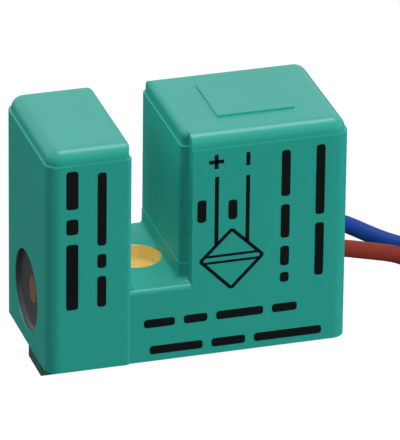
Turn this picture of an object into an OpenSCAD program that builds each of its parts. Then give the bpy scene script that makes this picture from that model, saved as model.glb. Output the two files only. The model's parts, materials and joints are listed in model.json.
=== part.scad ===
// Inductive fork sensor: a U-shaped moulded housing with a coil in each jaw and two flying leads.
// Millimetres. The origin is on the thread axis in the bottom face, +X points to the leads,
// +Y to the back and +Z up.

/* [Housing] */
// Clear width of the slot that the target passes through
slot_width = 3.5; // [3:0.1:5]
// Thickness of the thin arm
arm_thickness = 5.7; // [5.4:0.1:7]
// Length of the block that holds the electronics
block_length = 11.2; // [10.6:0.1:15]
// Depth of the block and the bridge from front to back
body_depth = 10; // [9.6:0.1:13]
// How far the arm stands proud of the bridge, front and back
arm_proud = 0.1; // [0:0.05:0.3]
// Height from the bottom face to the top
body_height = 15.7; // [15.2:0.1:19]
// Height of the slot floor above the bottom face
floor_height = 5.2; // [4.8:0.1:5.8]
// Thickness of the front plate that stands before the block
plate_thickness = 0.8; // [0.6:0.05:0.85]
// Distance from the slot to the front plate's upright edge
plate_setback = 0.55; // [0.5:0.05:0.85]
// Length of the plain raised pad on the block's top
pad_length = 5.2; // [4:0.1:6]
// Depth of the raised pad from front to back
pad_depth = 4.9; // [4:0.1:5.5]
// Height of the raised pad
pad_height = 0.12; // [0.05:0.01:0.2]
// Distance from the thread axis back to the middle of the raised pad
pad_offset = 0.15; // [0:0.05:0.3]
// Thickness of the end walls
wall = 0.8; // [0.6:0.05:1]
// Thickness of the front and back walls
front_wall = 1.25; // [1.2:0.05:1.4]
// Thickness of the wall between each coil and the slot
slot_wall = 0.7; // [0.5:0.05:0.9]
// Thickness of the roof over each jaw
roof = 1; // [0.8:0.05:1.2]
// Thickness of the plastic under the slot floor
floor_skin = 0.9; // [0.6:0.05:1.2]

/* [Edges] */
// Radius of the upright outer edges
edge_radius = 0.9; // [0.5:0.05:1.2]
// Radius of the arm's upright edges beside the slot
slot_edge_radius = 0.35; // [0.2:0.05:0.5]
// Height of the mould's parting ledge below the top
ledge_drop = 0.95; // [0.9:0.05:1.2]
// Step inwards of both caps above the parting ledge
ledge_step = 0.13; // [0.05:0.01:0.2]
// Radius of the caps' top edges
cap_radius = 0.85; // [0.5:0.05:0.85]
// Radius of the top edge over the block's shoulder
shoulder_radius = 0.4; // [0.3:0.05:0.5]
// Radius of the upright edges of the block's shoulder
shoulder_corner = 0.5; // [0.45:0.05:0.9]
// Radius of the arm cap's back corner beside the slot
slot_back_radius = 1.4; // [0.3:0.1:1.8]
// Radius of the arm's top edge beside the slot
slot_rim_radius = 0.1; // [0.05:0.05:0.3]
// Radius of the slot floor's front and back edges
floor_edge_radius = 0.3; // [0.2:0.05:0.6]
// Radius of the inside corners between slot floor and jaws
slot_corner_radius = 0.4; // [0.2:0.05:0.4]
// Height of the mould's witness step above the slot floor
foot_height = 1.2; // [0.8:0.1:2]
// How far each jaw's foot stands into the slot below that step
foot_step = 0.05; // [0.02:0.01:0.06]

/* [Threaded insert] */
// Bore of the M3 thread, measured at its crests
thread_bore = 2.5; // [2.4:0.05:2.6]
// Outside diameter of the insert
insert_d = 4.4; // [4:0.1:4.8]
// Width of the insert's locking groove
groove_width = 1.2; // [0.8:0.1:1.6]
// Depth of the insert's locking groove
groove_depth = 0.35; // [0.2:0.05:0.5]
// Height of the locking groove above the bottom face
groove_height = 1.5; // [1:0.1:2]
// Diameter of the plain lead-in below the slot floor
lead_in_d = 3.2; // [3:0.05:3.4]
// Depth of the plain lead-in
lead_in_depth = 0.95; // [0.6:0.05:1.2]
// Wall of the insert's neck around the lead-in
neck_wall = 0.08; // [0.06:0.01:0.09]
// Plastic around the insert
boss_wall = 0.8; // [0.6:0.05:1]

/* [Casting window] */
// Diameter of the round window in the arm
window_d = 5.5; // [4.8:0.1:5.6]
// Height of the window's centre above the bottom face
window_height = 3.75; // [3.75:0.05:4.5]
// Depth of the terminal disc below the arm's face
window_recess = 0.55; // [0.4:0.05:0.6]
// Thickness of the terminal disc
disc_thickness = 0.6; // [0.5:0.05:0.8]
// Thickness of the resin over the terminal disc
seal_thickness = 0.15; // [0.15:0.05:0.25]
// Depth of the resin's raised rim below the arm's face
rim_setback = 0.05; // [0.02:0.01:0.1]
// Thickness of the raised rim at its edge
rim_edge = 0.05; // [0.03:0.01:0.1]
// Diameter of the copper eyelet's flange
eyelet_d = 1.9; // [1.4:0.1:2.2]
// Diameter of the copper eyelet's shank
eyelet_shank_d = 1.1; // [0.8:0.1:1.2]
// Thickness of the copper eyelet's flange
eyelet_flange = 0.1; // [0.06:0.01:0.12]

/* [Bottom cover] */
// Thickness of the bottom cover
cover_thickness = 0.8; // [0.6:0.05:0.9]
// Gap between the cover and the walls
cover_clearance = 0.05; // [0.02:0.01:0.1]
// Drop of the locating lug below the bottom face
lug_drop = 0.8; // [0.5:0.05:1.5]
// Length of the locating lug, front to back
lug_length = 3; // [2:0.1:4]
// Width of the locating lug, inwards from the arm's face
lug_width = 2.8; // [2:0.1:3.5]
// Distance from the thread axis to the middle of the lug
lug_offset = 2.1; // [1.6:0.1:2.4]

/* [Sensing coils] */
// Outside diameter of each ferrite core
core_d = 6; // [5.4:0.1:6.6]
// Height of each ferrite core
core_height = 2.4; // [2:0.1:2.6]
// Thickness of the core's back and outer wall
core_wall = 0.5; // [0.4:0.05:0.6]
// Diameter of the core's centre post
post_d = 2.2; // [1.8:0.1:2.4]
// Wall of the coil former
former_wall = 0.2; // [0.15:0.05:0.25]
// Gap between the coil former and the core
former_clearance = 0.05; // [0.02:0.01:0.1]
// Diameter of the link wires through the bridge
link_wire_d = 0.3; // [0.2:0.05:0.4]
// Gap around the link wires
link_wire_clearance = 0.1; // [0.05:0.01:0.15]
// Height of the link wires above the bottom face
link_wire_height = 2.6; // [2:0.1:3]

/* [Electronics] */
// Thickness of the circuit board
board_thickness = 0.8; // [0.6:0.1:1]
// Gap between the block's coil core and the circuit board
board_gap = 1; // [0.8:0.1:1.2]
// Gap between the board's edges and the walls
board_clearance = 0.3; // [0.1:0.05:0.35]
// Side of the oscillator chip
chip_side = 2.8; // [2.4:0.1:3]
// Height of the oscillator chip
chip_height = 1; // [0.8:0.1:1.2]
// Space between the rows of parts on the board
row_gap = 0.4; // [0.3:0.05:0.5]

/* [Leads] */
// Outside diameter of each lead
lead_d = 1.15; // [1:0.05:1.2]
// Diameter of each lead's bare conductor
conductor_d = 0.5; // [0.4:0.05:0.6]
// Height of the leads where they leave the block
lead_height = 4.95; // [4.6:0.05:5]
// Distance between the two leads where they leave the block
lead_pitch = 4; // [2.8:0.1:4.4]
// Bare length of each conductor at the circuit board
inner_strip = 1.5; // [1:0.1:2]
// Bare length of each conductor at the free end
tip_length = 4; // [3:0.5:6]

/* [Hidden] */
$fn = 48;
eps = 0.01;

// Where the jaws begin and end along X
arm_left = -slot_width / 2 - arm_thickness;
arm_right = -slot_width / 2;
block_left = slot_width / 2;
block_right = block_left + block_length;
arm_depth = body_depth + 2 * arm_proud;
plate_left = block_left + plate_setback;
shoulder_depth = body_depth - plate_thickness;
ledge_height = body_height - ledge_drop;

// The cavity inside the housing
arm_cavity_left = arm_left + wall;
arm_cavity_right = arm_right - slot_wall;
block_cavity_left = block_left + slot_wall;
block_cavity_right = block_right - wall;
cavity_half = body_depth / 2 - front_wall;
cavity_top = body_height - roof;
tunnel_top = floor_height - floor_skin;
boss_d = insert_d + 2 * boss_wall;

// The insert
neck_d = lead_in_d + 2 * neck_wall;
neck_base = floor_height - lead_in_depth;

// The coils sit at half the slot's depth
coil_height = (floor_height + body_height) / 2;
former_d = core_d - 2 * core_wall - 2 * former_clearance;
former_bore = post_d + 2 * former_clearance;
former_height = core_height - core_wall - former_clearance;
winding_d = former_d - 2 * former_clearance;

// The board stands behind the block's coil, with its parts on the side of the leads
board_left = block_cavity_left + core_height + board_gap;
board_right = board_left + board_thickness;
board_half = cavity_half - board_clearance;
board_bottom = cover_thickness + board_clearance;
board_top = cavity_top - board_clearance;
capacitor_size = [0.8, 0.8, 1.4];
resistor_size = [0.4, 0.6, 1.1];
transistor_size = [1, 2.6, 1.3];
supply_size = [1.5, 3.2, 1.5];
capacitor_inset = 1.2;
resistor_inset = 0.7;
leg_size = [0.2, 0.5, 0.3];
capacitor_z = board_top - row_gap - capacitor_size[2] / 2;
chip_z = capacitor_z - capacitor_size[2] / 2 - row_gap - chip_side / 2;
transistor_z = lead_height + lead_d / 2 + row_gap + transistor_size[2] / 2;
supply_z = lead_height - lead_d / 2 - row_gap - supply_size[2] / 2;
solder_d = 1.2;
solder_height = 0.5;
solder_collar = 0.2;
strip_end = board_right + inner_strip;

// The terminal disc in the window
disc_face = arm_left + window_recess;
disc_clearance = 0.05;
link_channel = link_wire_d + 2 * link_wire_clearance;
link_wire_y = cavity_half - link_channel / 2;
link_wire_x = arm_cavity_right - core_height - link_wire_d;

// The leads' routes, with x measured from the block's lead face
brown_route = [[0, -2, 4.95], [0.3, -2, 4.95], [0.9, -1.99, 4.88], [1.5, -1.95, 4.72],
    [2.1, -1.9, 4.55], [2.7, -1.82, 4.37], [3.3, -1.72, 4.18], [3.9, -1.64, 3.99],
    [4.5, -1.61, 3.78], [5.1, -1.66, 3.51], [5.7, -1.79, 3.15], [6.3, -2.01, 2.8],
    [6.9, -2.28, 2.56], [7.5, -2.56, 2.41], [8.2, -2.9, 2.34]];
blue_route = [[0, 2, 4.95], [0.3, 2, 4.95], [0.6, 2, 4.94], [1.2, 1.99, 4.9],
    [1.8, 1.93, 4.78], [2.4, 1.76, 4.55], [3, 1.49, 4.29], [3.6, 1.15, 4.05],
    [4.2, 0.77, 3.85], [4.8, 0.37, 3.7], [5.3, 0.02, 3.61], [5.8, -0.36, 3.55],
    [6.4, -0.84, 3.51], [7.1, -1.39, 3.49], [7.9, -1.91, 3.48]];
lead_sides = 8;

// The two coils of lead lie on each other, beyond the routes' ends
hank_centre = [16.05, 2.5];
turn_pitch = 1.15;
inner_turn = 4.7;
turns_across = 4;
layers = 3;
tie_thickness = 0.25;
tie_width = 1.6;
tie_clearance = 0.12;
hank_bottom = tie_thickness - lug_drop;
hank_height = layers * turn_pitch;
hank_inner = inner_turn - turn_pitch / 2;
hank_outer = hank_inner + turns_across * turn_pitch;
brown_tail_radius = 3.1;
brown_tail_start = 181;
brown_tail_angle = 198;
blue_tail_radius = 5.85;
blue_tail_start = 129;
blue_tail_angle = 126;
tie_head = [1.2, 2.2, 2.4];

module quarter_disc(r) {
    intersection() {
        circle(r);
        square(r);
    }
}

// A rectangle with one corner radius on its left and another on its right
module outline(x0, x1, depth, r_left, r_right) {
    translate([x0 + r_left, -depth / 2]) square([x1 - r_right - x0 - r_left, depth]);
    for (s = [-1, 1]) {
        translate([x0 + r_left, s * (depth / 2 - r_left)]) circle(r_left);
        translate([x1 - r_right, s * (depth / 2 - r_right)]) circle(r_right);
    }
    translate([x0, -depth / 2 + r_left]) square([r_left, depth - 2 * r_left]);
    translate([x1 - r_right, -depth / 2 + r_right]) square([r_right, depth - 2 * r_right]);
}

// The top of a jaw: straight above the parting ledge, then rounded over on all sides
module cap(x0, x1, depth, fillet, corner = edge_radius) {
    r = min(fillet, corner - eps);
    shoulder = body_height - r;
    length = x1 - x0;
    translate([0, 0, ledge_height])
        linear_extrude(shoulder - ledge_height) outline(x0, x1, depth, corner, corner);
    translate([0, 0, shoulder])
        linear_extrude(r) outline(x0 + r, x1 - r, depth - 2 * r, corner - r, corner - r);
    for (side = [0, 180]) translate([(x0 + x1) / 2, 0, shoulder]) rotate(side) {
        translate([corner - length / 2, depth / 2 - r, 0])
            rotate([90, 0, 90]) linear_extrude(length - 2 * corner) quarter_disc(r);
        translate([length / 2 - r, depth / 2 - corner, 0])
            rotate([90, 0, 0]) linear_extrude(depth - 2 * corner) quarter_disc(r);
        for (end = [0, 1]) translate([(1 - 2 * end) * (length / 2 - corner), depth / 2 - corner, 0])
            rotate(90 * end) rotate_extrude(angle = 90) translate([corner - r, 0]) quarter_disc(r);
    }
}

// The bridge under the slot, with rounded front and back edges along its floor
module bridge() {
    r = floor_edge_radius;
    x0 = arm_right - slot_edge_radius;
    translate([x0, 0, 0]) rotate([90, 0, 90]) linear_extrude(block_left + edge_radius - x0) {
        translate([-body_depth / 2, 0]) square([body_depth, floor_height - r]);
        translate([r - body_depth / 2, 0]) square([body_depth - 2 * r, floor_height]);
        for (s = [-1, 1]) translate([s * (body_depth / 2 - r), floor_height - r]) circle(r);
    }
}

// Profile of a jaw's foot in the slot: a low step with a rounded inside corner at the floor
module foot_profile() {
    r = slot_corner_radius;
    square([foot_step, foot_height]);
    translate([foot_step, 0]) difference() {
        square(r);
        translate([r, r]) circle(r);
    }
}

// The foot along a jaw's straight face, from y0 to y1
module slot_foot(y0, y1) {
    translate([0, y1, 0]) rotate([90, 0, 0]) linear_extrude(y1 - y0) foot_profile();
}

// The block's outline: a rounded shoulder beside the slot, set back behind the front plate
module block_outline() {
    r = edge_radius;
    intersection() {
        translate([0, plate_thickness / 2])
            outline(block_left, block_right, shoulder_depth, shoulder_corner, r);
        translate([block_left, -body_depth / 2]) square([plate_setback + r, body_depth]);
    }
    intersection() {
        outline(block_left - r, block_right, body_depth, r, r);
        translate([plate_left, -body_depth / 2]) square([block_right - plate_left, body_depth]);
    }
}

// The arm's cap, cut off beside the slot with a small radius along the top
module arm_cap() {
    x1 = arm_right - ledge_step;
    depth = arm_depth - 2 * ledge_step;
    intersection() {
        cap(arm_left + ledge_step, x1 + 2 * edge_radius, depth, cap_radius);
        linear_extrude(body_height) outline(arm_left, x1, depth, slot_edge_radius, slot_edge_radius);
        translate([0, -depth / 2, 0])
            linear_extrude(body_height) outline(arm_left, x1, 2 * depth, slot_edge_radius, slot_back_radius);
        translate([0, arm_depth / 2, ledge_height]) rotate([90, 0, 0]) linear_extrude(arm_depth)
            outline(arm_left - cap_radius, x1, 2 * ledge_drop, cap_radius, slot_rim_radius);
    }
}

// The block's cap: one over the shoulder, and one over the front plate that runs back into its top
module block_cap() {
    inset = 2 * ledge_step;
    x0 = block_left - 2 * edge_radius;
    x1 = block_right - ledge_step;
    depth = body_depth - inset;
    plate_top = [block_length, plate_thickness + ledge_step + cap_radius, ledge_drop];
    intersection() {
        translate([0, plate_thickness / 2, 0])
            cap(block_left + ledge_step, x1, shoulder_depth - inset, shoulder_radius, shoulder_corner);
        translate([0, -edge_radius, 0]) cap(x0, x1, depth + 2 * edge_radius, cap_radius);
    }
    intersection() {
        cap(x0, x1, depth, cap_radius);
        translate([plate_left, -body_depth / 2, ledge_height]) cube(plate_top);
    }
}

// The block's foot, round its front corner to the front plate
module block_foot() {
    r = shoulder_corner;
    corner = plate_thickness - body_depth / 2 + r;
    translate([block_left, 0, floor_height]) mirror([1, 0, 0]) slot_foot(corner, body_depth / 2 - r);
    translate([block_left + r, corner, floor_height])
        rotate(180) rotate_extrude(angle = 90) translate([r, 0]) foot_profile();
}

module outer_form() {
    linear_extrude(ledge_height) outline(arm_left, arm_right, arm_depth, edge_radius, slot_edge_radius);
    arm_cap();
    linear_extrude(ledge_height) block_outline();
    block_cap();
    pad_left = (block_left + block_right - pad_length) / 2;
    translate([pad_left, pad_offset - pad_depth / 2, body_height - cap_radius])
        cube([pad_length, pad_depth, cap_radius + pad_height]);
    bridge();
    half = body_depth / 2 - floor_edge_radius;
    translate([arm_right, 0, floor_height]) slot_foot(-half, half);
    block_foot();
}

// The boss round the insert, cut back where it would touch the link wires
module boss(z0) {
    difference() {
        translate([0, 0, z0]) cylinder(d = boss_d, h = floor_height - z0);
        for (s = [-1, 1]) translate([-boss_d / 2, s * link_wire_y - link_channel / 2, z0])
            cube([boss_d, link_channel, tunnel_top - z0]);
    }
}

// The hollow in the housing, with the boss left standing in its middle
module cavity(z0 = 0) {
    difference() {
        union() {
            translate([arm_cavity_left, -cavity_half, z0])
                cube([arm_cavity_right - arm_cavity_left, 2 * cavity_half, cavity_top - z0]);
            translate([block_cavity_left, -cavity_half, z0])
                cube([block_cavity_right - block_cavity_left, 2 * cavity_half, cavity_top - z0]);
            translate([arm_cavity_right, -cavity_half, z0])
                cube([block_cavity_left - arm_cavity_right, 2 * cavity_half, tunnel_top - z0]);
        }
        boss(z0);
    }
}

module along_x(x, y, z) {
    translate([x, y, z]) rotate([0, 90, 0]) children();
}

// The insert's outside, which the housing is moulded around
module insert_form() {
    g0 = groove_height;
    g1 = groove_height + groove_width;
    r = insert_d / 2;
    rotate_extrude() polygon([[0, 0], [r, 0], [r, g0], [r - groove_depth, g0], [r - groove_depth, g1],
        [r, g1], [r, neck_base], [neck_d / 2, neck_base], [neck_d / 2, floor_height], [0, floor_height]]);
}

module housing() {
    color("#2A9082") difference() {
        outer_form();
        cavity();
        insert_form();
        translate([0, 0, floor_height]) cylinder(d = neck_d, h = slot_corner_radius + eps);
        along_x(arm_left - eps, 0, window_height) cylinder(d = window_d, h = wall + 2 * eps);
        for (s = [-1, 1]) along_x(block_cavity_right - eps, s * lead_pitch / 2, lead_height)
            cylinder(d = lead_d, h = wall + 2 * eps);
    }
}

module bottom_cover() {
    c = cover_clearance;
    length = block_cavity_right - arm_cavity_left - 2 * c;
    color("#34544D") {
        difference() {
            translate([arm_cavity_left + c, c - cavity_half, 0])
                cube([length, 2 * (cavity_half - c), cover_thickness]);
            translate([0, 0, -eps]) cylinder(d = boss_d + 2 * c, h = cover_thickness + 2 * eps);
        }
        translate([arm_left, -lug_offset - lug_length / 2, -lug_drop])
            cube([lug_width, lug_length, lug_drop]);
    }
}

module threaded_insert() {
    color("#D2A23C") difference() {
        insert_form();
        translate([0, 0, -eps]) cylinder(d = thread_bore, h = floor_height + 2 * eps);
        translate([0, 0, neck_base]) cylinder(d = lead_in_d, h = lead_in_depth + eps);
    }
}

// Resin that fills the cavity around everything in it
module casting_resin() {
    color("#3B3D3C") difference() {
        cavity(cover_thickness);
        terminal_disc();
        terminal_eyelet();
        along_x(arm_cavity_right - core_height, 0, coil_height) cylinder(d = core_d, h = core_height);
        along_x(block_cavity_left, 0, coil_height) cylinder(d = core_d, h = core_height);
        link_wires();
        circuit_board();
        oscillator_chip();
        chip_legs();
        output_transistor();
        supply_capacitor();
        chip_capacitors();
        chip_resistors();
        solder_joints();
        inner_conductors();
        for (s = [-1, 1]) inner_end(s);
    }
}

module terminal_disc() {
    color("#3A3A3C") along_x(disc_face, 0, window_height) difference() {
        cylinder(d = window_d - 2 * disc_clearance, h = disc_thickness);
        translate([0, 0, -eps]) cylinder(d = eyelet_shank_d, h = disc_thickness + 2 * eps);
    }
}

module terminal_eyelet() {
    color("#8A5A3A") {
        along_x(disc_face - eyelet_flange, 0, window_height) cylinder(d = eyelet_d, h = eyelet_flange);
        along_x(disc_face, 0, window_height) cylinder(d = eyelet_shank_d, h = disc_thickness);
    }
}

// Resin over the terminal disc: flat in the middle, drawn up the window's wall at its rim
module window_seal() {
    r = window_d / 2;
    rim = window_recess - seal_thickness - rim_setback;
    color("#45494A") along_x(disc_face - seal_thickness, 0, window_height) rotate_extrude() {
        translate([eyelet_d / 2, 0]) square([r - eyelet_d / 2, seal_thickness]);
        translate([r - rim - rim_edge, -rim]) difference() {
            square([rim + rim_edge, rim]);
            circle(rim);
        }
    }
}

// One coil along Z, with the core's open side up
module core() {
    difference() {
        cylinder(d = core_d, h = core_height);
        translate([0, 0, core_wall]) difference() {
            cylinder(d = core_d - 2 * core_wall, h = core_height);
            cylinder(d = post_d, h = core_height);
        }
    }
}

module coil_former() {
    rotate_extrude() translate([former_bore / 2, core_wall]) {
        square([former_wall, former_height]);
        square([(former_d - former_bore) / 2, former_wall]);
        translate([0, former_height - former_wall]) square([(former_d - former_bore) / 2, former_wall]);
    }
}

module winding() {
    rotate_extrude() translate([former_bore / 2 + former_wall, core_wall + former_wall])
        square([(winding_d - former_bore) / 2 - former_wall, former_height - 2 * former_wall]);
}

module in_arm() {
    along_x(arm_cavity_right - core_height, 0, coil_height) children();
}

module in_block() {
    translate([block_cavity_left + core_height, 0, coil_height]) rotate([0, -90, 0]) children();
}

module arm_core() { color("#2B2B2E") in_arm() core(); }
module arm_coil_former() { color("#E4DFC8") in_arm() coil_former(); }
module arm_winding() { color("#B5652D") in_arm() winding(); }
module block_core() { color("#2B2B2E") in_block() core(); }
module block_coil_former() { color("#E4DFC8") in_block() coil_former(); }
module block_winding() { color("#B5652D") in_block() winding(); }

// Two wires from behind the arm's coil, down and through the bridge to the board
module link_wires() {
    color("#C06F35") for (s = [-1, 1]) {
        translate([link_wire_x, s * link_wire_y, link_wire_height])
            cylinder(d = link_wire_d, h = coil_height - link_wire_height);
        translate([link_wire_x, s * link_wire_y, link_wire_height]) sphere(d = link_wire_d);
        along_x(link_wire_x, s * link_wire_y, link_wire_height)
            cylinder(d = link_wire_d, h = board_left - link_wire_x);
    }
}

module circuit_board() {
    color("#2F6B3A") difference() {
        translate([board_left, -board_half, board_bottom])
            cube([board_thickness, 2 * board_half, board_top - board_bottom]);
        for (s = [-1, 1]) along_x(board_left - eps, s * lead_pitch / 2, lead_height)
            cylinder(d = conductor_d, h = board_thickness + 2 * eps);
    }
}

// A block-shaped part on the board's face
module on_board(size, y, z) {
    translate([board_right, y - size[1] / 2, z - size[2] / 2]) cube(size);
}

module oscillator_chip() {
    color("#232326") on_board([chip_height, chip_side, chip_side], 0, chip_z);
}

module chip_legs() {
    color("#C4C6C8") for (s = [-1, 1], k = [-1, 0, 1])
        on_board(leg_size, s * (chip_side + leg_size[1]) / 2, chip_z + k * chip_side / 3);
}

module output_transistor() {
    color("#26262A") on_board(transistor_size, 0, transistor_z);
}

module supply_capacitor() {
    color("#C98A2B") on_board(supply_size, 0, supply_z);
}

module chip_capacitors() {
    color("#B49A78") for (k = [-1, 0, 1])
        on_board(capacitor_size, k * (board_half - capacitor_inset), capacitor_z);
}

module chip_resistors() {
    color("#1E1E22") for (s = [-1, 1], k = [-1, 1])
        on_board(resistor_size, s * (board_half - resistor_inset), chip_z + k * chip_side / 4);
}

module solder_joints() {
    color("#BFC3C6") for (s = [-1, 1]) along_x(board_left - solder_height, s * lead_pitch / 2, lead_height)
        difference() {
            cylinder(d1 = conductor_d + solder_collar, d2 = solder_d, h = solder_height);
            translate([0, 0, -eps]) cylinder(d = conductor_d, h = solder_height + 2 * eps);
        }
}

module inner_conductors() {
    x0 = board_left - solder_height;
    color("#C98F5A") for (s = [-1, 1])
        along_x(x0, s * lead_pitch / 2, lead_height) cylinder(d = conductor_d, h = strip_end - x0);
}

// The insulated end of one lead inside the block, flush with the lead face
module inner_end(side) {
    along_x(strip_end, side * lead_pitch / 2, lead_height)
        cylinder(d = lead_d, h = block_right - strip_end);
}

module brown_inner_end() { color("#84382E") inner_end(-1); }
module blue_inner_end() { color("#24489A") inner_end(1); }

function unit(v) = v / norm(v);
function heading(p, i) = unit(p[min(i + 1, len(p) - 1)] - p[max(i - 1, 0)]);
function ring(c, t, r, n) =
    let (side = unit(cross([0, 0, 1], t)), up = cross(t, side))
    [for (k = [0:n - 1]) c + r * (cos(360 * k / n) * side + sin(360 * k / n) * up)];

// A round tube swept along a route
module tube(p, d, n) {
    last = len(p) - 1;
    rings = [for (i = [0:last]) each ring(p[i], heading(p, i), d / 2, n)];
    walls = [for (i = [0:last - 1], k = [0:n - 1]) let (m = (k + 1) % n)
        [i * n + k, (i + 1) * n + k, (i + 1) * n + m, i * n + m]];
    ends = [[for (k = [0:n - 1]) k], [for (k = [0:n - 1]) (last + 1) * n - 1 - k]];
    polyhedron(rings, concat(walls, ends));
}

module in_hank(z) {
    translate([block_right + hank_centre[0], hank_centre[1], z]) children();
}

module arc(r, start, angle, d) {
    rotate(start) rotate_extrude(angle = angle) translate([r, 0]) circle(d = d);
}

function tip_angle(r) = tip_length / r * 180 / PI;

module coil_of_lead() {
    rotate_extrude() translate([hank_inner, 0]) square([hank_outer - hank_inner, hank_height]);
}

brown_tail_z = lead_d / 2 - lug_drop;
blue_tail_z = hank_bottom + 2 * hank_height + lead_d / 2;

// The brown lead's tail lies inside its coil and the blue one's on top
module brown_lead() {
    color("#84382E") {
        translate([block_right, 0, 0]) tube(brown_route, lead_d, lead_sides);
        in_hank(brown_tail_z) arc(brown_tail_radius, brown_tail_start, brown_tail_angle, lead_d);
    }
}

module blue_lead() {
    color("#24489A") {
        translate([block_right, 0, 0]) tube(blue_route, lead_d, lead_sides);
        in_hank(blue_tail_z) arc(blue_tail_radius, blue_tail_start, blue_tail_angle, lead_d);
    }
}

module brown_coil() { color("#84382E") in_hank(hank_bottom) coil_of_lead(); }
module blue_coil() { color("#24489A") in_hank(hank_bottom + hank_height) coil_of_lead(); }

module brown_tip() {
    color("#C3C6C8") in_hank(brown_tail_z)
        arc(brown_tail_radius, brown_tail_start + brown_tail_angle,
            tip_angle(brown_tail_radius), conductor_d);
}

module blue_tip() {
    color("#C3C6C8") in_hank(blue_tail_z)
        arc(blue_tail_radius, blue_tail_start + blue_tail_angle, tip_angle(blue_tail_radius), conductor_d);
}

// A flat band round both coils, closed by a head on the outside
module wire_tie() {
    t = tie_thickness;
    inner = hank_inner - tie_clearance;
    width = hank_outer + tie_clearance - inner;
    color("#E8E8E4") in_hank(hank_bottom) rotate([90, 0, 0]) translate([inner, 0, -tie_width / 2]) {
        linear_extrude(tie_width) difference() {
            translate([-t, -t]) square([width + 2 * t, 2 * hank_height + 2 * t]);
            square([width, 2 * hank_height]);
        }
        translate([width + t, hank_height, (tie_width - tie_head[2]) / 2]) cube(tie_head);
    }
}

housing();
bottom_cover();
threaded_insert();
casting_resin();
terminal_disc();
terminal_eyelet();
window_seal();
arm_core();
arm_coil_former();
arm_winding();
block_core();
block_coil_former();
block_winding();
link_wires();
circuit_board();
oscillator_chip();
chip_legs();
output_transistor();
supply_capacitor();
chip_capacitors();
chip_resistors();
solder_joints();
inner_conductors();
brown_inner_end();
blue_inner_end();
brown_lead();
brown_coil();
brown_tip();
blue_lead();
blue_coil();
blue_tip();
wire_tie();
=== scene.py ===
# %% [markdown]
# # A fork sensor, dressed for the camera
# A fork sensor is a small U of moulded plastic with a coil in each jaw. This lesson loads its solid
# model as a fixed frame and gives every piece its finish. Blender works in metres here, so a value
# in millimetres is multiplied by `mm` where it is used.

# %% Load the frame
import json
from math import atan2, cos, degrees, pi, radians, sin, tau
import bmesh
import bpy
from mathutils import Matrix, Vector


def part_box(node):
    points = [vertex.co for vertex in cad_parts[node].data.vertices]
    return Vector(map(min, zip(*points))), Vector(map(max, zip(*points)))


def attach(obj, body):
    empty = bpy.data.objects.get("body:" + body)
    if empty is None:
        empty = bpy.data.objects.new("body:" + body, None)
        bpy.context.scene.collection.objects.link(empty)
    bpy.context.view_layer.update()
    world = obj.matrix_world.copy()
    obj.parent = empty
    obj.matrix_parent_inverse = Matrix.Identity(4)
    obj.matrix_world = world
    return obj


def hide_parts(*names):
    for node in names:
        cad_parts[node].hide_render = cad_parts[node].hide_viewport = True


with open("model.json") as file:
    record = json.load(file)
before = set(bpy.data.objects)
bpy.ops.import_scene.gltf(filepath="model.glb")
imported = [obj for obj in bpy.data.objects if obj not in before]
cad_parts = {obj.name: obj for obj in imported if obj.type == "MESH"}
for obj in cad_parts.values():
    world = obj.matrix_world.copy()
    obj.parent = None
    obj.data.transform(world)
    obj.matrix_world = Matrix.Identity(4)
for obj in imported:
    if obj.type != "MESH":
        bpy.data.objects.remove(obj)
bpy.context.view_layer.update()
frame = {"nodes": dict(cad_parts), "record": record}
nodes = frame["nodes"]
mm = 0.001

# %% [markdown]
# ## The camera
# The picture was taken with a long lens from above and to the left, so edges that are parallel on
# the sensor stay nearly parallel in the image. A long lens from far away gives the same look. The
# camera's axes are written as three directions, because a matrix sets place and turn in one go.

# %% Make the camera
camera_place = Vector((-104.293, -353.742, 188.114)) * mm
camera_right = Vector((0.95723, -0.28911, 0.01123))
camera_view = Vector((0.26453, 0.85879, -0.43875))
camera_up = camera_right.cross(camera_view)

camera_data = bpy.data.cameras.new("camera")
camera_data.lens = 514.67
camera_data.sensor_width = 36
camera_data.shift_x = -0.01049
camera_data.shift_y = -0.00531
camera_data.clip_start = 10 * mm
camera = bpy.data.objects.new("camera", camera_data)
bpy.context.collection.objects.link(camera)
turn = Matrix((camera_right, camera_up, -camera_view)).transposed().to_4x4()
camera.matrix_world = Matrix.Translation(camera_place) @ turn
bpy.context.scene.camera = camera
bpy.context.scene.view_settings.view_transform = "Standard"
print("camera at", camera_place)

# %% [markdown]
# ## The two leads
# Each lead is 500 mm of thin stranded wire. Only its first few millimetres are in the picture,
# and the rest is wound into a coil beside the sensor, as it comes out of the packet. A Blender curve
# with a round bevel is a wire by itself: its points are the wire's middle line.
#
# The short stretch in the picture is a list of given points. The coil is worked out by a
# loop, turn by turn: a ring of wire at one radius and height, and at its end a shift to the next ring.

# %% Lay out the coils
lead_d = 1.15
lead_length = 500
lead_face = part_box("housing")[1].x / mm
coil_centre = Vector((lead_face + 16.05, 2.5))
wire_pitch = 1.15
inner_ring = 4.7
rings_across = 4
layers = 3
shift_angle = radians(80)
stagger_angle = radians(12)


def ring_places(first_height, layer_step):
    """The radius and height of each ring in the order in which the wire fills them."""
    places = []
    for layer in range(layers):
        order = range(rings_across) if layer % 2 else reversed(range(rings_across))
        height = first_height + layer_step * layer
        places += [(inner_ring + wire_pitch * ring, height) for ring in order]
    return places


def shift_ends(places):
    """How far the wire has turned at the end of each shift from one ring to the next."""
    ends, turned = [], 0
    for k in range(len(places) - 1):
        climbs = [places[j][1] != places[j + 1][1] for j in (k - 1, k) if j >= 0]
        turned += tau - (stagger_angle if any(climbs) else 0)
        ends.append(turned)
    return ends


print("coils of", rings_across * layers, "rings round", coil_centre)

# %% Wind the leads
entry_angle = radians(60)
layer_bulge = 0.35
step_angle = radians(6)
tail_steps = 12
free_steps = 24


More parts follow.
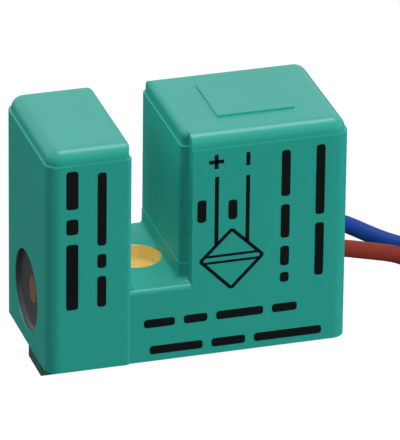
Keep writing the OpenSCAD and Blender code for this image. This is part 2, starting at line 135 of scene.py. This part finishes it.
def ease(t):
    """A smooth start and stop between 0 and 1."""
    t = min(max(t, 0), 1)
    return t * t * (3 - 2 * t)


def wind(route, first_height, layer_step, tail_radius, tail_height, tail_shift, early):
    """The lead's middle line in millimetres: the route, the coil's turns and the free tail."""
    points = [Vector((lead_face + x, y, z)) for x, y, z in route]
    end = points[-1].xy
    heading = (end - points[-2].xy).normalized()
    reach = heading.dot(coil_centre - end)
    touch = end + heading * reach - coil_centre
    start = atan2(touch.y, touch.x)
    for part in (0.25, 0.5, 0.75):
        height = points[len(route) - 1].z * (1 - part) + first_height * part
        points.append((end + heading * reach * part).to_3d() + Vector((0, 0, height)))

    def put(radius, angle, height):
        spot = coil_centre + radius * Vector((cos(start + angle), sin(start + angle)))
        points.append(Vector((spot.x, spot.y, height)))

    places = ring_places(first_height, layer_step)
    ends = shift_ends(places)
    last = ends[-1] + tau - shift_angle - early
    steps = round(last / step_angle)
    for step in range(steps):
        angle = last * step / steps
        k = sum(angle >= end for end in ends)
        radius, height = places[k]
        t = (angle - ends[k] + shift_angle) / shift_angle if k < len(ends) else 0
        if t > 0 and places[k + 1][1] != height:
            outwards = 1 if radius > inner_ring + wire_pitch else -1
            radius += outwards * layer_bulge * sin(pi * t) ** 2
            height += (places[k + 1][1] - height) * ease(t)
        elif t > 0:
            radius += (places[k + 1][0] - radius) * ease(t)
        if k == 0:
            radius += (touch.length - radius) * (1 - ease(angle / entry_angle))
        put(radius, angle, height)

    radius, height = places[-1]
    for step in range(tail_steps):
        bend = ease(step / tail_steps) * pi / 2
        put(radius + (tail_radius - radius) * (1 - cos(bend)), last + tail_shift * step / tail_steps,
            height + (tail_height - height) * sin(bend))
    put(tail_radius, last + tail_shift, tail_height)
    wound = sum((b - a).length for a, b in zip(points, points[1:]))
    sweep = (lead_length - wound) / tail_radius
    for step in range(1, free_steps + 1):
        put(tail_radius, last + tail_shift + sweep * step / free_steps, tail_height)
    print("tail from", degrees(start + last + tail_shift) % 360, "over", degrees(sweep), "degrees")
    return points


brown_route = [
    (0, -2, 4.95), (0.3, -2, 4.95), (0.9, -1.99, 4.88), (1.5, -1.95, 4.72), (2.1, -1.9, 4.55),
    (2.7, -1.82, 4.37), (3.3, -1.72, 4.18), (3.9, -1.64, 3.99), (4.5, -1.61, 3.78), (5.1, -1.66, 3.51),
    (5.7, -1.79, 3.15), (6.3, -2.01, 2.8), (6.9, -2.28, 2.56), (7.5, -2.56, 2.41), (8.2, -2.9, 2.34)]
blue_route = [
    (0, 2, 4.95), (0.3, 2, 4.95), (0.6, 2, 4.94), (1.2, 1.99, 4.9), (1.8, 1.93, 4.78),
    (2.4, 1.76, 4.55), (3, 1.49, 4.29), (3.6, 1.15, 4.05), (4.2, 0.77, 3.85), (4.8, 0.37, 3.7),
    (5.3, 0.02, 3.61), (5.8, -0.36, 3.55), (6.4, -0.84, 3.51), (7.1, -1.39, 3.49), (7.9, -1.91, 3.48)]
brown_path = wind(brown_route, 2.325, -wire_pitch, 3.1, -0.225, radians(90), radians(25))
blue_path = wind(blue_route, 3.475, wire_pitch, 5.85, 6.925, radians(70), radians(50))


def curve_piece(name, thickness, resolution):
    """An empty curve whose bevel makes each of its splines a round wire with closed ends."""
    data = bpy.data.curves.new(name, "CURVE")
    data.dimensions = "3D"
    data.bevel_depth = thickness / 2 * mm
    data.bevel_resolution = resolution
    data.use_fill_caps = True
    piece = bpy.data.objects.new(name, data)
    bpy.context.collection.objects.link(piece)
    return piece


def lead_curve(name, points):
    """One lead as a smooth curve through its points."""
    piece = curve_piece(name, lead_d, 3)
    piece.data.resolution_u = 2
    spline = piece.data.splines.new("BEZIER")
    spline.bezier_points.add(len(points) - 1)
    for bezier, point in zip(spline.bezier_points, points):
        bezier.co = point * mm
        bezier.handle_left_type = bezier.handle_right_type = "AUTO"
    return piece


brown_wire = lead_curve("brown_wire", brown_path)
blue_wire = lead_curve("blue_wire", blue_path)
print("brown wire", len(brown_path), "points, blue wire", len(blue_path), "points")

# %% [markdown]
# ## Tools for materials
# Colours are written as the sRGB hex values that one reads off a screen, and shaders work in linear
# light, so one function turns the first into the second. A second function adds a node with its
# settings and links. Every pattern reads Object coordinates, which are metres here.

# %% Make the node tools
def linear(code):
    """A colour written as sRGB hex, as linear RGBA."""
    parts = [int(code[k:k + 2], 16) / 255 for k in (0, 2, 4)]
    return (*[c / 12.92 if c <= 0.04045 else ((c + 0.055) / 1.055) ** 2.4 for c in parts], 1)


def add_node(owner, kind, values=None, links=None):
    """Adds one node: values are its properties and plain inputs, links are inputs fed by outputs."""
    node = owner.node_tree.nodes.new("ShaderNode" + kind)
    for name, value in (values or {}).items():
        if isinstance(name, str) and hasattr(node, name):
            setattr(node, name, value)
        else:
            node.inputs[name].default_value = value
    for name, source in (links or {}).items():
        owner.node_tree.links.new(source, node.inputs[name])
    return node


def start_material(name, values):
    """A new material with plain numbers set on its shader's own sockets."""
    material = bpy.data.materials.new(name)
    material.use_nodes = True
    shader = material.node_tree.nodes["Principled BSDF"]
    for socket, value in values.items():
        shader.inputs[socket].default_value = value
    where = add_node(material, "TexCoord").outputs["Object"]
    return material, shader, where


def per_mm(size):
    """The scale of a pattern whose features are this many millimetres wide."""
    return 1 / (size * mm)


print("node tools ready")

# %% [markdown]
# Nearly all pieces are moulded, cast or drawn, so two recipes cover them. A plastic has soft clouds of
# two close colours and a fine grain that both roughens and dents it. A metal has its colour and its
# roughness in the same fine clouds. The grain is given in millimetres for each material. On the real
# pieces it is finer than a pixel, so it is drawn coarser, just wide enough to break up the gloss.

# %% Make the material recipes
cloud_size = 5
plastic_spread = 0.06
metal_spread = 0.08


def moulded(name, shade, tint, roughness, grain, depth, level=0.5):
    """A moulded plastic: soft clouds between two close colours, and a fine grain from the tool."""
    material, shader, where = start_material(name, {"Specular IOR Level": level})
    clouds = add_node(material, "TexNoise", {"Scale": per_mm(cloud_size), "Detail": 3}, {"Vector": where})
    mix = add_node(material, "Mix", {"data_type": "RGBA", 6: linear(shade), 7: linear(tint)},
                   {0: clouds.outputs["Fac"]})
    fine = add_node(material, "TexNoise", {"Scale": per_mm(grain), "Detail": 2}, {"Vector": where})
    rough = add_node(material, "MapRange", {"To Min": roughness - plastic_spread,
                                            "To Max": roughness + plastic_spread},
                     {"Value": fine.outputs["Fac"]})
    bump = add_node(material, "Bump", {"Strength": 0.5, "Distance": depth * mm},
                    {"Height": fine.outputs["Fac"]})
    for socket, source in (("Base Color", mix.outputs[2]), ("Roughness", rough.outputs["Result"]),
                           ("Normal", bump.outputs["Normal"])):
        material.node_tree.links.new(source, shader.inputs[socket])
    return material


def metal(name, shade, tint, roughness, streak, metallic=1):
    """A drawn or turned metal: close colours in fine clouds, and a roughness that varies a little."""
    material, shader, where = start_material(name, {"Metallic": metallic})
    clouds = add_node(material, "TexNoise", {"Scale": per_mm(streak), "Detail": 4}, {"Vector": where})
    mix = add_node(material, "Mix", {"data_type": "RGBA", 6: linear(shade), 7: linear(tint)},
                   {0: clouds.outputs["Fac"]})
    rough = add_node(material, "MapRange", {"To Min": roughness - metal_spread,
                                            "To Max": roughness + metal_spread},
                     {"Value": clouds.outputs["Fac"]})
    for socket, source in (("Base Color", mix.outputs[2]), ("Roughness", rough.outputs["Result"])):
        material.node_tree.links.new(source, shader.inputs[socket])
    return material


print("material recipes ready")

# %% [markdown]
# ## The housing
# The housing is one shell of green PBT, moulded in a tool whose walls were spark-eroded, so it has a
# fine satin grain and little gloss. Its solid has every edge, step and rounding already, and its mesh
# keeps the normals of the true surfaces, so the solid itself is dressed and no copy is made.

# %% Dress the housing
# An even blue-green with soft, wide highlights on the rounded edges
satin_pbt = moulded("pbt_moulded_satin_green", "24998C", "28A091", 0.37, 0.12, 0.012)
nodes["housing"].material_slots[0].material = satin_pbt
print("housing dressed in", satin_pbt.name)

# %% [markdown]
# The slot is shaped by a core of the mould that is coarser than the outer walls, so the slot's faces
# are duller and hardly mirror the brass between them. The slot needs no material of its own: a mask
# made from the place across and above the slot floor lifts the roughness there, with soft borders.

# %% Roughen the slot
slot_half = 1.75 * mm
slot_floor = 5.2 * mm
slot_roughness = 0.6
where = add_node(satin_pbt, "TexCoord").outputs["Object"]
split = add_node(satin_pbt, "SeparateXYZ", links={"Vector": where}).outputs
aside = add_node(satin_pbt, "Math", {"operation": "ABSOLUTE"}, {0: split["X"]})
across = add_node(satin_pbt, "MapRange", {
    "From Min": slot_half + 0.2 * mm, "From Max": slot_half + 0.6 * mm,
    "To Min": slot_roughness, "To Max": 0}, {"Value": aside.outputs[0]})
upward = add_node(satin_pbt, "MapRange", {"From Min": slot_floor - 0.08 * mm, "From Max": slot_floor},
                  {"Value": split["Z"]})
core = add_node(satin_pbt, "Math", {"operation": "MULTIPLY"},
                {0: across.outputs["Result"], 1: upward.outputs["Result"]})
shader = satin_pbt.node_tree.nodes["Principled BSDF"]
satin = shader.inputs["Roughness"].links[0].from_socket
rougher = add_node(satin_pbt, "Math", {"operation": "MAXIMUM"}, {0: satin, 1: core.outputs[0]})
satin_pbt.node_tree.links.new(rougher.outputs[0], shader.inputs["Roughness"])
print("slot roughness", slot_roughness)

# %% [markdown]
# ## The leads' finish
# The insulation is PVC, drawn through a round die while soft, so it is smooth, with faint clouds in its
# colour. The brown lead takes the supply's plus and the blue one its minus. A bevelled curve takes a
# material as a mesh does, so nothing has to be converted.

# %% Dress the leads
# Soft PVC with a dull skin: deep colour, and only a weak, broad sheen along the wire
brown_pvc = moulded("pvc_extruded_brown", "782C22", "823429", 0.5, 0.3, 0.004, 0.15)
blue_pvc = moulded("pvc_extruded_blue", "183985", "204394", 0.5, 0.3, 0.004, 0.15)
brown_wire.data.materials.append(brown_pvc)
blue_wire.data.materials.append(blue_pvc)
print("leads dressed in", brown_pvc.name, "and", blue_pvc.name)

# %% [markdown]
# ## The bare tips
# The last millimetres of each lead are stripped, and show seven tinned strands with a slight twist. A
# plain rod would look like a nail, so each strand is a thin curve: six wind round one in the middle.

# %% Strip the tips
conductor_d = 0.5
tip_length = 4
tip_lay = 6
tip_steps = 24
# Hot-dipped tin: pale grey, bright where it faces a lamp and slightly clouded
tinned = metal("copper_wire_tinned", "A9ADB0", "C9CCCE", 0.32, 0.2)


def stripped_tip(name, path):
    """Seven strands that go on along the arc of the lead's tail."""
    strand = conductor_d / 6
    piece = curve_piece(name, 2 * strand, 2)
    spoke = path[-1].xy - coil_centre
    first = atan2(spoke.y, spoke.x)
    for k in range(7):
        spline = piece.data.splines.new("POLY")
        spline.points.add(tip_steps)
        for step, point in enumerate(spline.points):
            along = tip_length * step / tip_steps
            angle = first + along / spoke.length
            twist = tau * (k / 6 + along / tip_lay)
            off = 2 * strand if k < 6 else 0
            spot = coil_centre + (spoke.length + off * cos(twist)) * Vector((cos(angle), sin(angle)))
            point.co = (spot.x * mm, spot.y * mm, (path[-1].z + off * sin(twist)) * mm, 1)
    return piece


def dress(piece, material, slot, *replaced):
    """Gives a new piece its finish and its place in the frame."""
    piece.data.materials.clear()
    piece.data.materials.append(material)
    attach(piece, "root")
    if replaced:
        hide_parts(*replaced)
    print(piece.name, "dressed in", material.name)


tips = {"brown": stripped_tip("brown_stripped_tip", brown_path),
        "blue": stripped_tip("blue_stripped_tip", blue_path)}
for colour, tip in tips.items():
    dress(tip, tinned, "tin", colour + "_tip")

# %% [markdown]
# ## The tie
# A moulded nylon tie holds both coils. It is a thin band with a small head that locks it. The band
# starts as a flat rectangle with rounded corners. Insetting it leaves a rim as thick as the band, and
# extruding that rim gives the band its width. The head is a block with rounded edges.

# %% Mould the tie
tie_low, tie_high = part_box("wire_tie")
tie_wall = 0.25 * mm
tie_width = 1.6 * mm
tie_head = (1.2 * mm, 2.4 * mm, 2.2 * mm)
tie_corner = 0.8 * mm
head_edge = 0.2 * mm
band_right = tie_high.x - tie_head[0]
tie_middle = (tie_low + tie_high) / 2


def mesh_piece(name, bm, sharp=None):
    """A new object from a finished bmesh. Edges under the sharp angle, in degrees, are shaded smooth."""
    mesh = bpy.data.meshes.new(name)
    bm.to_mesh(mesh)
    bm.free()
    if sharp:
        mesh.shade_smooth()
        mesh.set_sharp_from_angle(angle=radians(sharp))
    piece = bpy.data.objects.new(name, mesh)
    bpy.context.collection.objects.link(piece)
    return piece


bm = bmesh.new()
bmesh.ops.create_grid(bm, x_segments=1, y_segments=1, size=0.5)
bmesh.ops.scale(bm, verts=bm.verts, vec=(band_right - tie_low.x, tie_high.z - tie_low.z, 1))
bmesh.ops.bevel(bm, geom=bm.verts[:], offset=tie_corner, affect="VERTICES", segments=5, profile=0.5,
                material=-1)
bmesh.ops.inset_region(bm, faces=bm.faces[:], thickness=tie_wall, use_boundary=True)
middle = min(bm.faces, key=lambda face: face.calc_center_median().length)
bmesh.ops.delete(bm, geom=[middle], context="FACES")
grown = bmesh.ops.extrude_face_region(bm, geom=bm.faces[:])["geom"]
lifted = [part for part in grown if isinstance(part, bmesh.types.BMVert)]
bmesh.ops.translate(bm, verts=lifted, vec=(0, 0, tie_width))
bmesh.ops.rotate(bm, verts=bm.verts, matrix=Matrix.Rotation(pi / 2, 3, "X"))
bmesh.ops.translate(bm, verts=bm.verts, vec=((tie_low.x + band_right) / 2, tie_middle.y + tie_width / 2,
                                             tie_middle.z))
head_place = Matrix.Translation((band_right + tie_head[0] / 2, tie_middle.y, tie_middle.z + tie_head[2] / 2))
head = bmesh.ops.create_cube(bm, size=1, matrix=head_place @ Matrix.Diagonal((*tie_head, 1)))["verts"]
bmesh.ops.bevel(bm, geom=list({edge for v in head for edge in v.link_edges}), offset=head_edge,
                affect="EDGES", segments=3, profile=0.5, material=-1)
bmesh.ops.recalc_face_normals(bm, faces=bm.faces)
tie = mesh_piece("nylon_tie", bm, 40)
# Natural nylon: a milky off-white with a waxy sheen
nylon = moulded("nylon_moulded_natural", "E2E1DA", "EEEDE8", 0.45, 0.4, 0.006)
dress(tie, nylon, "tie_plastic", "wire_tie")

# %% [markdown]
# ## What the leads are
# A lead is soft, and could lie in any other way. Here the frame's own lead and coil solids are hidden,
# and each wire curve is attached to the root in their place.

for wire, colour, side in ((brown_wire, "brown", -1), (blue_wire, "blue", 1)):
    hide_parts(colour + "_lead", colour + "_coil")
    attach(wire, "root")
print("leads of", lead_length, "mm declared")

# %% [markdown]
# ## The threaded insert
# The screw from below goes into a turned brass insert with an M3 thread. A thread is one groove wound
# round a bore, so a single pitch of its outline is spun and lifted at each step. Two planes cut the
# ends square, and bridges join them to the spun outside.

# %% Cut the thread
thread_pitch = 0.5
thread_crest = 1.25
thread_root = 1.5
crest_flat = 0.125
root_flat = 0.0625
thread_mouth = 0.3
thread_top = 4.25
turns = 11
turn_steps = 64


def loop_edges(bm, height):
    """The open edges of a mesh at one height, in millimetres."""
    near = [edge for edge in bm.edges if edge.is_boundary]
    return [edge for edge in near if all(abs(v.co.z - height * mm) < 0.01 * mm for v in edge.verts)]


def polyline(bm, points):
    """Vertices and edges of an outline given as radius and height."""
    verts = [bm.verts.new((radius * mm, 0, height * mm)) for radius, height in points]
    return verts + [bm.edges.new(pair) for pair in zip(verts, verts[1:])]


bm = bmesh.new()
flank = (thread_pitch - crest_flat - root_flat) / 2
crest_end = crest_flat - thread_pitch
one_pitch = polyline(bm, [
    (thread_crest, -thread_pitch), (thread_crest, crest_end), (thread_root, crest_end + flank),
    (thread_root, crest_end + flank + root_flat), (thread_crest, 0)])
bmesh.ops.spin(bm, geom=one_pitch, cent=(0, 0, 0), axis=(0, 0, 1), angle=tau * turns,
               steps=turn_steps * turns, dvec=(0, 0, thread_pitch / turn_steps * mm))
bmesh.ops.remove_doubles(bm, verts=bm.verts, dist=0.002 * mm)
for height, way in ((thread_mouth, -1), (thread_top, 1)):
    bmesh.ops.bisect_plane(bm, geom=bm.verts[:] + bm.edges[:] + bm.faces[:], plane_co=(0, 0, height * mm),
                           plane_no=(0, 0, way), clear_outer=True)
thread_ends = {height: loop_edges(bm, height) for height in (thread_mouth, thread_top)}
print("thread from", thread_mouth, "to", thread_top, "mm")

# %% Turn the insert
insert_radius = 2.2
groove_radius = 1.85
groove_low, groove_high = 1.5, 2.7
neck_radius = 1.68
neck_top = 5.2
lead_in_radius = 1.6
outside = polyline(bm, [
    (thread_root, 0), (insert_radius, 0), (insert_radius, groove_low), (groove_radius, groove_low),
    (groove_radius, groove_high), (insert_radius, groove_high), (insert_radius, thread_top),
    (neck_radius, thread_top), (neck_radius, neck_top), (lead_in_radius, neck_top),
    (lead_in_radius, thread_top)])
bmesh.ops.spin(bm, geom=outside, cent=(0, 0, 0), axis=(0, 0, 1), angle=tau, steps=turn_steps, use_merge=True)
mouth = loop_edges(bm, 0)
rim = [edge for edge in loop_edges(bm, thread_top) if edge not in thread_ends[thread_top]]
bmesh.ops.bridge_loops(bm, edges=mouth + thread_ends[thread_mouth])
bmesh.ops.bridge_loops(bm, edges=rim + thread_ends[thread_top])
bmesh.ops.recalc_face_normals(bm, faces=bm.faces)
print("insert open edges", sum(edge.is_boundary for edge in bm.edges))
brass_insert = mesh_piece("brass_insert", bm, 35)
# Turned brass with a thin dull skin: warm yellow, half mirror and half matt
turned_brass = metal("brass_turned", "F4DA88", "FFF2C0", 0.33, 0.15, 0.7)
dress(brass_insert, turned_brass, "brass", "threaded_insert")

# %% [markdown]
# ## The print
# The marks on the front are pad-printed in black ink: a plus and a minus over two lead lines, and the
# diamond that stands for a proximity switch. Ink has almost no thickness, so each mark is a thin plate
# that lies on the plastic. Plates also stay crisp at any distance, which a painted pattern would not.

# %% Draw the symbols
ink_height = 0.02
front_face = -5
line_width = 0.26
strip_width = 0.17
diamond_width = 0.23


def ink_plate(bm, start, end, width, front, corner=0):
    """A thin bar on the front from start to end, given as x and z, with rounded ends."""
    start, end = Vector(start), Vector(end)
    length = (end - start).length
    middle = (start + end) / 2
    slope = atan2(end.y - start.y, end.x - start.x)
    place = Matrix.Translation(Vector((middle.x, front - ink_height / 2, middle.y)) * mm)
    place @= Matrix.Rotation(-slope, 4, "Y") @ Matrix.Diagonal((length * mm, ink_height * mm, width * mm, 1))
    corners = bmesh.ops.create_cube(bm, size=1, matrix=place)["verts"]
    if corner:
        edges = [edge for v in corners for edge in v.link_edges]
        deep = [edge for edge in edges
                if abs((edge.verts[0].co - edge.verts[1].co).y) > 0.5 * ink_height * mm]
        bmesh.ops.bevel(bm, geom=list(set(deep)), offset=corner * mm, affect="EDGES", segments=4,
                        profile=0.5, material=-1)


bm = bmesh.new()
plus = [((3.39, 13.83), (4.39, 13.83)), ((3.89, 13.33), (3.89, 14.33))]
minus = [((6.03, 13.34), (6.03, 14.27))]
lead_lines = [((3.94, 7.9), (3.94, 12.76)), ((6.04, 7.9), (6.04, 12.63))]
for start, end in plus + minus + lead_lines:
    ink_plate(bm, start, end, line_width, front_face)
for start, end in (((3.29, 7.06), (6.76, 7.06)), ((3.16, 6.6), (6.9, 6.6))):
    ink_plate(bm, start, end, strip_width, front_face)
diamond = [(2.88, 6.78), (4.99, 8.88), (7.11, 6.81), (4.98, 4.64)]
for start, end in zip(diamond, diamond[1:] + diamond[:1]):
    ink_plate(bm, start, end, diamond_width, front_face)
print("symbols", len(bm.faces), "faces")

# %% [markdown]
# Rows of plain bars fill the rest of the front, some upright and some level. Their plates get rounded
# corners, as ink has where it flowed a little before it dried.

# %% Draw the bars
arm_face = -5.1
bar_width = 0.6
wide_bar = 0.8
bar_corner = 0.2
upright_bars = (
    (2.94, bar_width, front_face, [(9.6, 11.2)]),
    (5.03, bar_width, front_face, [(9.6, 11)]),
    (8.6, bar_width, front_face, [(4.6, 5.3), (5.8, 7.2), (7.8, 10.2), (10.8, 14.1)]),
    (10.95, bar_width, front_face, [(4.8, 8.6), (9.2, 14.2)]),
    (-5.77, wide_bar, arm_face, [(4.5, 9.2), (9.9, 11), (11.7, 14.4)]),
    (-3.79, bar_width, arm_face, [(4.5, 6.7), (7.3, 8.3), (8.9, 14.1)]))
for x, width, front, runs in upright_bars:
    for low, high in runs:
        ink_plate(bm, (x, low), (x, high), width, front, bar_corner)
level_bars = (
    (2.75, [(-0.9, 1.2), (1.8, 3.4), (4, 7.2), (7.8, 9.5)]),
    (0.8, [(-0.5, 3.1), (3.7, 6), (6.6, 11.2)]))
for z, runs in level_bars:
    for left, right in runs:
        ink_plate(bm, (left, z), (right, z), bar_width, front_face, bar_corner)
bmesh.ops.recalc_face_normals(bm, faces=bm.faces)
front_print = mesh_piece("front_print", bm)
# Cured ink: flat black with a trace of the green under it and almost no gloss
pad_ink = moulded("ink_pad_printed_black", "0A0E0E", "121616", 0.55, 0.15, 0.004, 0.15)
front_print.data.materials.append(pad_ink)
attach(front_print, "root")
print("print", len(front_print.data.polygons), "faces")

# %% [markdown]
# ## The casting window and the cover
# Behind the round window lie a laminate disc and a copper eyelet. The resin that seals them is smoked.
# It also lies up the window's wall in a thin dark rim, which is painted shade on the recess's wall. The
# bottom cover with its locating lug is a deep grey-green, darker than the housing. All four keep their
# solids.

# %% Dress the window and the cover
# Sawn laminate is a matt grey-black, and the smoked resin a smoother one with a soft gloss
laminate = moulded("epoxy_laminate_sawn", "333335", "3E3E41", 0.6, 0.2, 0.01)
# The smoked resin's rim up the window's wall is painted shade: a dark sheet on the wall of the recess
smoked_seal_with_painted_rim_shade = moulded("epoxy_cast_smoked_rim_painted_shade", "383C3C", "454A4A", 0.35, 0.6, 0.004, 0.3)
# Copper under its flux and oxide: a brown that is only half metallic
dull_copper = metal("copper_dull", "8A6A52", "A07458", 0.45, 0.3, 0.5)
# The cover is a deep grey-green without sheen, darker than the housing
dark_pbt = moulded("pbt_moulded_dark", "2B4A43", "33554D", 0.6, 0.15, 0.012, 0.35)
for node, material in (("terminal_disc", laminate), ("terminal_eyelet", dull_copper),
                       ("window_seal", smoked_seal_with_painted_rim_shade), ("bottom_cover", dark_pbt)):
    nodes[node].material_slots[0].material = material
    print(node, "dressed in", material.name)

# %% [markdown]
# ## The pieces inside
# The housing hides the coils, the board and the ends of the leads, which are cast into grey resin.
# They keep their solids and get the finish that each would show on the bench.

# %% Dress the inside
# Cast resin is smooth and satin, sintered ferrite dull and sooty, the formers' LCP a matt ivory, the
# board's resist a green with some gloss, chips matt black, and drawn copper bright and reddish
inside = {
    "casting_resin": moulded("epoxy_cast_grey", "383A39", "414342", 0.4, 0.5, 0.006),
    "ferrite": moulded("ferrite_sintered", "28282B", "323236", 0.55, 0.1, 0.01),
    "former_plastic": moulded("lcp_moulded_ivory", "DDD7BE", "E8E3CF", 0.5, 0.2, 0.008),
    "board_laminate": moulded("board_resist_green", "296234", "33733F", 0.35, 0.4, 0.006),
    "chip_epoxy": moulded("epoxy_moulded_black", "1E1E21", "29292D", 0.55, 0.08, 0.008),
    "capacitor_yellow": moulded("epoxy_moulded_yellow", "C08125", "CF9236", 0.45, 0.2, 0.006),
    "capacitor_ceramic": moulded("ceramic_fired_tan", "AB9070", "BBA384", 0.4, 0.15, 0.004),
    "copper": metal("copper_drawn", "B4622B", "C87A42", 0.3, 0.1),
    "tin": tinned, "brown_insulation": brown_pvc, "blue_insulation": blue_pvc}
slots = {row["node"]: row["material_slot"] for row in frame["record"]["subparts"]}
for name, node in nodes.items():
    if slots[name] in inside and name != "terminal_eyelet":
        node.material_slots[0].material = inside[slots[name]]
print("inside pieces dressed in", len(inside), "materials")

# %% [markdown]
# ## The lamps
# Light comes from three sides: the front right, the left and behind, and overhead. Each side has a lamp
# that throws shadows and a fill that throws none, so the shadows in the slot are there but stay light.
# The four lamps at the sides are left out of reflections, because satin plastic would show each of
# them as a grey patch. The pair overhead is mirrored, and gives the tops their sheen.

# %% Set up the lamps
lamp_distance = 0.6
lamp_aim = Vector((3, 0, 8)) * mm
side_size = 0.3
top_size = 0.2


def lamp(name, direction, size, level, shadow=True, mirrored=True):
    """A square lamp aimed at the sensor. At level 1 it lights a facing white card fully white."""
    data = bpy.data.lights.new(name, "AREA")
    data.size = size
    data.energy = level * pi ** 2 * lamp_distance ** 2
    data.use_shadow = shadow
    piece = bpy.data.objects.new(name, data)
    bpy.context.collection.objects.link(piece)
    way = Vector(direction).normalized()
    piece.location = lamp_aim + way * lamp_distance
    piece.rotation_euler = way.to_track_quat("Z", "Y").to_euler()
    piece.visible_glossy = mirrored


front_right, back_left, overhead = (0.62, -0.77, 0.17), (-0.75, 0.27, 0.6), (0.26, 0.1, 0.96)
lamp("key_lamp", front_right, side_size, 0.65, mirrored=False)
lamp("key_fill", front_right, side_size, 0.38, shadow=False, mirrored=False)
lamp("left_lamp", back_left, side_size, 0.29, mirrored=False)
lamp("left_fill", back_left, side_size, 0.36, shadow=False, mirrored=False)
lamp("top_lamp", overhead, top_size, 0.05)
lamp("top_fill", overhead, top_size, 0.44, shadow=False)

# %% [markdown]
# ## The floor
# The picture has a white background, so the floor glows nearly white to the camera and through clear
# pieces, and the lamps add the rest, which leaves the sensor's shadow on it. In reflections and as a
# source of light it stays dark, or the glow would wash out the sensor's sides.

# %% Lay the floor
floor_height = -0.8
floor_half = 2
floor_shade, mirrored_shade = 0.15, 0.05
floor_glow = 0.88
mirrored_glow = 0.02
bm = bmesh.new()
bmesh.ops.create_grid(bm, x_segments=1, y_segments=1, size=floor_half,
                      matrix=Matrix.Translation((0, 0, floor_height * mm)))
floor = mesh_piece("floor", bm)

# Matt card: no gloss at all, and a grey that the glow lifts to white
white_card, shader, where = start_material("card_white_matt", {
    "Roughness": 0.9, "Specular IOR Level": 0, "Emission Color": (1, 1, 1, 1)})
rays = add_node(white_card, "LightPath").outputs
grey = add_node(white_card, "MapRange", {"To Min": floor_shade, "To Max": mirrored_shade},
                {"Value": rays["Is Glossy Ray"]})
white_card.node_tree.links.new(grey.outputs["Result"], shader.inputs["Base Color"])
faint = add_node(white_card, "Math", {"operation": "MULTIPLY", 1: mirrored_glow},
                 {0: rays["Is Glossy Ray"]})
seen = add_node(white_card, "Math", {"operation": "MAXIMUM"},
                {0: rays["Is Camera Ray"], 1: rays["Is Transmission Ray"]})
seen = add_node(white_card, "Math", {"operation": "MAXIMUM"}, {0: seen.outputs[0], 1: faint.outputs[0]})
lift = add_node(white_card, "Math", {"operation": "MULTIPLY", 1: floor_glow}, {0: seen.outputs[0]})
white_card.node_tree.links.new(lift.outputs[0], shader.inputs["Emission Strength"])
floor.data.materials.append(white_card)
print("floor at", floor_height, "mm")

# %% [markdown]
# ## The background
# The world is plain white to the camera and through clear pieces. Reflections see it white as well,
# except in front of the sensor, where a studio is dark behind the camera. That darker part keeps the
# lower half of the rounded front edges deep in colour. As a light it only lifts the shadows.

# %% Whiten the background
dark_from, dark_to = -0.65, -1
front_strength = 0.2
shadow_lift = 0.12
world = bpy.data.worlds.new("studio")
bpy.context.scene.world = world
world.use_nodes = True
rays = add_node(world, "LightPath").outputs
way = add_node(world, "TexCoord").outputs["Generated"]
depth = add_node(world, "SeparateXYZ", links={"Vector": way}).outputs["Y"]
studio = add_node(world, "MapRange", {"From Min": dark_to, "From Max": dark_from,
                                      "To Min": front_strength, "To Max": 1}, {"Value": depth})
mirrored = add_node(world, "Math", {"operation": "MULTIPLY"},
                    {0: studio.outputs["Result"], 1: rays["Is Glossy Ray"]})
seen = add_node(world, "Math", {"operation": "MAXIMUM"},
                {0: rays["Is Camera Ray"], 1: rays["Is Transmission Ray"]})
seen = add_node(world, "Math", {"operation": "MAXIMUM"}, {0: seen.outputs[0], 1: mirrored.outputs[0]})
strength = add_node(world, "Math", {"operation": "MAXIMUM", 1: shadow_lift}, {0: seen.outputs[0]})
background = world.node_tree.nodes["Background"]
background.inputs["Color"].default_value = (1, 1, 1, 1)
world.node_tree.links.new(strength.outputs[0], background.inputs["Strength"])
print("background", world.name)
